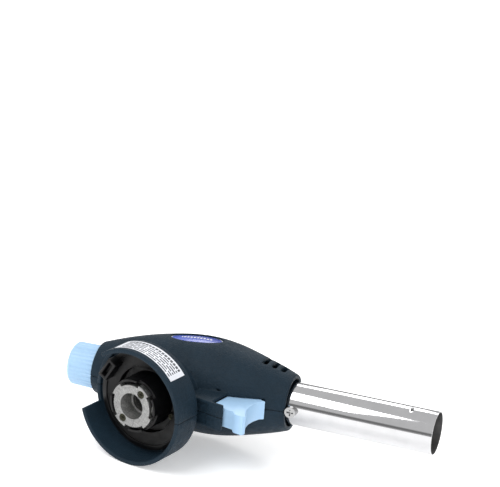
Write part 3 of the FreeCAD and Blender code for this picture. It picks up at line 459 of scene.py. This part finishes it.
def leave():
    bpy.ops.object.mode_set(mode="OBJECT")


def settle(piece):
    """Applies a piece's place, turn and scale to its mesh."""
    take(piece)
    bpy.ops.object.transform_apply(location=True, rotation=True, scale=True)
    return piece


def copy_of(node, name):
    """A copy of a CAD node with its corners joined, free of its body."""
    take(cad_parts[node])
    bpy.ops.object.duplicate()
    piece = named(name)
    piece.parent = None
    piece.matrix_world = Matrix.Identity(4)
    for key in list(piece.keys()):
        del piece[key]
    piece.data.materials.clear()
    edit()
    bpy.ops.mesh.remove_doubles(threshold=JOIN_DISTANCE)
    bpy.ops.mesh.dissolve_limited(angle_limit=radians(0.4))
    leave()
    return piece


def smooth(piece, angle=32.0):
    take(piece)
    bpy.ops.object.shade_smooth_by_angle(angle=radians(angle))
    return piece


def bevelled(piece, width, segments=2, angle=40.0, clamp=False):
    """Rounds the sharp edges of a piece and applies it."""
    take(piece)
    bpy.ops.object.modifier_add(type="BEVEL")
    bevel = piece.modifiers[-1]
    bevel.width = width
    bevel.segments = segments
    bevel.limit_method = "ANGLE"
    bevel.angle_limit = radians(angle)
    bevel.use_clamp_overlap = clamp
    bpy.ops.object.modifier_apply(modifier=bevel.name)
    return piece


def painted(piece, material):
    piece.data.materials.clear()
    piece.data.materials.append(material)
    return piece


def stand_for(piece, node, body, material):
    """Gives a finished piece its material and body, and hides the CAD node it stands for."""
    painted(piece, material)
    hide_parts(node)
    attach(piece, body)
    return piece


def dress(node, material):
    """Gives a CAD node its material."""
    painted(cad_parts[node], material)


# ---- pieces ----


class TORCH_OT_housing(Operator):
    """Two grained shells with softened edges"""

    bl_idname = "torch.housing"
    bl_label = "Housing"

    def execute(self, context):
        plastic = moulded(
            "housing_plastic", colours().housing, 0.46, 0.62, 1500.0, 0.00030,
            tint=0.30, specular=0.16, shade_line_half=sizes().seam_shade_half_width,
        )
        for node in ("housing_badge_side", "housing_plain_side"):
            piece = copy_of(node, node.replace("housing", "shell"))
            bevelled(piece, sizes().shell_edge, 2, 38.0)
            smooth(piece, 35.0)
            stand_for(piece, node, "housing", plastic)
        return {"FINISHED"}


class TORCH_OT_prints(Operator):
    """Oval badge and the label round the cup"""

    bl_idname = "torch.prints"
    bl_label = "Badge and label"

    def execute(self, context):
        dress("badge_plate", badge_print("badge_print"))
        dress("rating_label", label_print("label_print"))
        return {"FINISHED"}


class TORCH_OT_seat(Operator):
    """Black seat, cast plate and the screws and inlet inside the cup"""

    bl_idname = "torch.seat"
    bl_label = "Cartridge seat"

    def execute(self, context):
        palette = colours()
        black = moulded("black_plastic", palette.black, 0.34, 0.50, 1800.0, 0.00006, specular=0.28)
        cast = cast_metal("zinc_casting", palette.casting)
        seat = copy_of("cartridge_seat", "seat_moulding")
        bevelled(seat, sizes().seat_edge, 2, 40.0)
        smooth(seat)
        stand_for(seat, "cartridge_seat", "housing", black)
        plate = copy_of("cartridge_adapter", "adapter_casting")
        bevelled(plate, sizes().casting_edge, 2, 40.0, clamp=True)
        smooth(plate)
        stand_for(plate, "cartridge_adapter", "housing", cast)
        olive = turned_metal("olive_plating", palette.olive, 0.25, 0.45, (1, 1, 1))
        rubber = moulded("seal_rubber", palette.black, 0.55, 0.75, 1600.0, 0.00003)
        brass = turned_metal("turned_brass", palette.brass, 0.18, 0.34, (6, 1, 1))
        dress("adapter_screws", olive)
        dress("seat_screws", olive)
        dress("inlet_seal", rubber)
        dress("inlet_pin", brass)
        dress("inlet_filter", brass)
        return {"FINISHED"}


class TORCH_OT_tube(Operator):
    """Mirror-polished flame tube with its crimp mark and fixing screw"""

    bl_idname = "torch.tube"
    bl_label = "Flame tube"

    def execute(self, context):
        low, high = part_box("flame_tube")
        radius = (high[1] - low[1]) / 2
        length = high[0] - low[0]
        centre = ((low[0] + high[0]) / 2, BURNER_HEIGHT, 0)
        deselect()
        bpy.ops.mesh.primitive_cylinder_add(
            vertices=sizes().tube_sides, radius=radius, depth=length, end_fill_type="NOTHING",
            location=centre, rotation=(0, radians(90), 0),
        )
        tube = settle(named("polished_tube"))
        take(tube)
        bpy.ops.object.modifier_add(type="SOLIDIFY")
        tube.modifiers[-1].thickness = sizes().tube_wall
        tube.modifiers[-1].offset = -1
        bpy.ops.object.modifier_apply(modifier=tube.modifiers[-1].name)
        bevelled(tube, sizes().tube_edge, 3, 60.0)
        self.press_crimp(tube, radius)
        smooth(tube, 30.0)
        steel = tube_steel("polished_steel", radius - sizes().tube_wall / 2)
        stand_for(tube, "flame_tube", "housing", steel)
        zinc = turned_metal("zinc_plating", colours().zinc, 0.22, 0.4, (1, 1, 1))
        dress("flame_tube_screw", zinc)
        dress("housing_screws", zinc)
        return {"FINISHED"}

    def press_crimp(self, tube, radius):
        """Presses a short dent into the tube across its length."""
        deselect()
        bpy.ops.mesh.primitive_uv_sphere_add(segments=32, ring_count=16, radius=1.0, location=(0, 0, 0))
        stamp = named("crimp_stamp")
        stamp.scale = CRIMP_SIZE
        depth = radius + CRIMP_PROUD
        aside, up = depth * sin(CRIMP_TURN), depth * cos(CRIMP_TURN)
        stamp.location = (CRIMP_STATION, BURNER_HEIGHT - aside, up)
        stamp.rotation_euler = (CRIMP_TURN, 0, 0)
        settle(stamp)
        take(tube)
        bpy.ops.object.modifier_add(type="BOOLEAN")
        tube.modifiers[-1].object = stamp
        tube.modifiers[-1].operation = "DIFFERENCE"
        tube.modifiers[-1].solver = "EXACT"
        bpy.ops.object.modifier_apply(modifier=tube.modifiers[-1].name)
        bpy.data.objects.remove(stamp)


class TORCH_OT_burner(Operator):
    """Jet, mixing tube, support, burner head and spark gear"""

    bl_idname = "torch.burner"
    bl_label = "Burner"

    def execute(self, context):
        palette = colours()
        brass = bpy.data.materials["turned_brass"]
        for node in ("gas_jet", "mixing_tube", "burner_head"):
            dress(node, brass)
        dress("burner_support", cast_metal("support_casting", palette.casting))
        ceramic = moulded("white_ceramic", (0.80, 0.78, 0.72), 0.15, 0.25, 500.0, 0.00001, 0.03)
        dress("electrode_insulator", ceramic)
        dress("electrode", bpy.data.materials["zinc_plating"])
        dress("ignition_lead", bpy.data.materials["seal_rubber"])
        return {"FINISHED"}


class TORCH_OT_valve(Operator):
    """Valve body, spindle with its rings and the gland nut"""

    bl_idname = "torch.valve"
    bl_label = "Valve"

    def execute(self, context):
        brass = bpy.data.materials["turned_brass"]
        dress("valve_body", bpy.data.materials["zinc_casting"])
        dress("valve_spindle", brass)
        dress("gland_nut", brass)
        dress("spindle_rings", bpy.data.materials["seal_rubber"])
        return {"FINISHED"}


class TORCH_OT_controls(Operator):
    """Fluted gas knob, trigger and piezo igniter"""

    bl_idname = "torch.controls"
    bl_label = "Knob and trigger"

    def execute(self, context):
        palette = colours()
        sky = moulded("sky_plastic", palette.sky, 0.30, 0.42, 900.0, 0.00002, 0.04)
        knob = copy_of("control_knob", "fluted_knob")
        bevelled(knob, sizes().knob_edge, 2, 40.0)
        smooth(knob, 30.0)
        stand_for(knob, "control_knob", "knob", sky)
        trigger = copy_of("trigger", "finger_trigger")
        bevelled(trigger, sizes().trigger_edge, 4, 50.0)
        smooth(trigger, 40.0)
        stand_for(trigger, "trigger", "trigger", sky)
        black = bpy.data.materials["black_plastic"]
        dress("piezo_unit", black)
        dress("piezo_plunger", black)
        self.spring()
        return {"FINISHED"}

    def spring(self):
        """Return spring between the plunger and the seat in the igniter's case, given its own mesh."""
        coil = smooth(copy_of("piezo_spring", "return_spring"), 60.0)
        stand_for(coil, "piezo_spring", "trigger", bpy.data.materials["zinc_plating"])
        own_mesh(coil)


class TORCH_OT_stage(Operator):
    """Pale floor, soft lights and the camera"""

    bl_idname = "torch.stage"
    bl_label = "Stage"

    def execute(self, context):
        floor_height = CAD_BOX[0][2] - FLOOR_GAP
        deselect()
        bpy.ops.mesh.primitive_plane_add(size=6.0, location=(0, 0, floor_height))
        floor = settle(named("floor"))
        n = Nodes("glowing_floor_paper")
        n.colour(n.mix(n.noise(3.0, 2.0), tone(colours().floor, 0.99), tone(colours().floor, 1.0)))
        n.rough(0.75)
        # painted light: the floor paper glows faintly, which lifts the torch's shadow on it and lights
        # the torch from below
        n.shader.inputs["Emission Color"].default_value = WHITE
        n.shader.inputs["Emission Strength"].default_value = 0.35
        painted(floor, n.material)
        self.lights()
        self.camera()
        self.surroundings()
        return {"FINISHED"}

    def lights(self):
        middle = Vector((0.045, 0.03, 0.0))
        for name, place, wide, deep, power in (
            ("key_light", (-0.35, -0.55, 0.95), 0.7, 0.7, 7.0),
            ("fill_light", (0.85, -0.75, 0.45), 0.9, 0.6, 2.6),
            ("back_light", (0.10, 0.95, 0.75), 1.4, 0.25, 5.0),
        ):
            deselect()
            bpy.ops.object.light_add(type="AREA", location=place)
            light = bpy.context.active_object
            light.name = name
            light.data.shape = "RECTANGLE"
            light.data.size = wide
            light.data.size_y = deep
            light.data.energy = power
            light.rotation_euler = (middle - Vector(place)).to_track_quat("-Z", "Y").to_euler()

    def camera(self):
        deselect()
        bpy.ops.object.camera_add()
        camera = bpy.context.active_object
        camera.name = "camera"
        right = Vector(CAMERA_RIGHT).normalized()
        forward = Vector(CAMERA_FORWARD).normalized()
        up = right.cross(forward).normalized()
        right = forward.cross(up).normalized()
        turn = Matrix((right, up, -forward)).transposed().to_4x4()
        camera.matrix_world = Matrix.Translation(CAMERA_PLACE) @ turn
        camera.data.sensor_width = 36.0
        camera.data.lens = 133.4
        camera.data.clip_start = 0.01
        bpy.context.scene.camera = camera
        bpy.context.scene.view_settings.view_transform = "Standard"

    def surroundings(self):
        """A bright room that darkens towards the horizon."""
        world = bpy.data.worlds.new("soft_room")
        world.use_nodes = True
        bpy.context.scene.world = world
        tree = world.node_tree
        place = tree.nodes.new("ShaderNodeTexCoord")
        split = tree.nodes.new("ShaderNodeSeparateXYZ")
        ramp = tree.nodes.new("ShaderNodeValToRGB")
        tree.links.new(place.outputs["Generated"], split.inputs[0])
        tree.links.new(split.outputs["Z"], ramp.inputs["Fac"])
        tree.links.new(ramp.outputs["Color"], tree.nodes["Background"].inputs["Color"])
        elements = ramp.color_ramp.elements
        for element, (position, level) in zip(elements, (ROOM_STOPS[0], ROOM_STOPS[-1])):
            element.position, element.color = position, (level, level, level, 1)
        for position, level in ROOM_STOPS[1:-1]:
            elements.new(position).color = (level, level, level, 1)
        tree.nodes["Background"].inputs["Strength"].default_value = 0.75


class TORCH_PT_pieces(Panel):
    bl_idname = "TORCH_PT_pieces"
    bl_label = "Torch Head"
    bl_space_type = "VIEW_3D"
    bl_region_type = "UI"
    bl_category = "Torch"

    def draw(self, context):
        column = self.layout.column()
        for operator in STEPS:
            column.operator(operator.bl_idname)
        for group in (context.scene.torch_sizes, context.scene.torch_colours):
            for name in group.__annotations__:
                column.prop(group, name)


STEPS = (
    TORCH_OT_housing, TORCH_OT_prints, TORCH_OT_seat, TORCH_OT_tube,
    TORCH_OT_burner, TORCH_OT_valve, TORCH_OT_controls, TORCH_OT_stage,
)
CLASSES = (TorchSizes, TorchColours, *STEPS, TORCH_PT_pieces)


def register():
    for cls in CLASSES:
        bpy.utils.register_class(cls)
    bpy.types.Scene.torch_sizes = PointerProperty(type=TorchSizes)
    bpy.types.Scene.torch_colours = PointerProperty(type=TorchColours)


def unregister():
    del bpy.types.Scene.torch_colours
    del bpy.types.Scene.torch_sizes
    for cls in reversed(CLASSES):
        bpy.utils.unregister_class(cls)


def main():
    register()
    for step in STEPS:
        group, action = step.bl_idname.split(".")
        getattr(getattr(bpy.ops, group), action)()
    bpy.context.view_layer.update()


if __name__ == "__main__":
    main()
